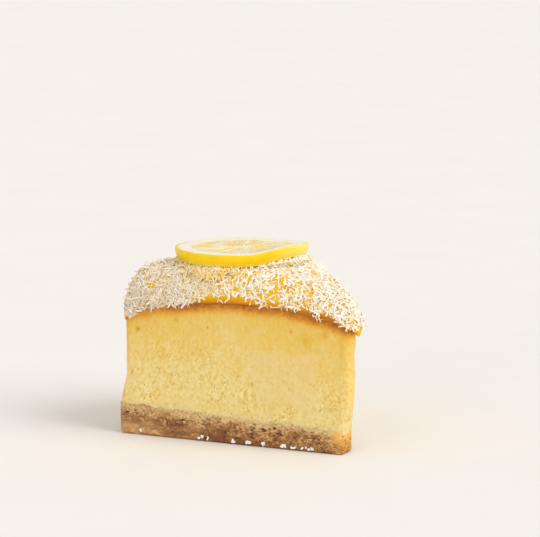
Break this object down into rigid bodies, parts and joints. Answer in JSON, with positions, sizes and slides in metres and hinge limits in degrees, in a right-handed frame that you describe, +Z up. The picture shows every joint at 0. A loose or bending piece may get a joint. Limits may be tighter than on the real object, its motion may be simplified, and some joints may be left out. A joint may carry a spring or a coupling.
{
  "type": "lemon cheesecake slice",
  "caption": "Wedge of a round baked lemon cheesecake on a biscuit base, topped with lemon curd, coconut shreds and a round lemon slice; stands on its flat underside.",
  "frame": {"origin": "middle of the bounding box at the underside of the biscuit base", "axes": "+Z up; the front cut looks along -Y; +X runs along the front cut from the rim to the tip"},
  "size_m": [0.1106, 0.0832, 0.0815],
  "materials": {
    "biscuit": "crumbly",
    "cheesecake": "fine pored and moist",
    "curd_and_coconut": "glossy curd under dry white shreds",
    "lemon": "waxy rind, wet pulp"
  },
  "bodies": {
    "root": {"biscuit_base": "biscuit", "cheesecake": "cheesecake", "lemon_curd": "curd_and_coconut", "lemon_slice": "lemon"}
  },
  "joints": []
}
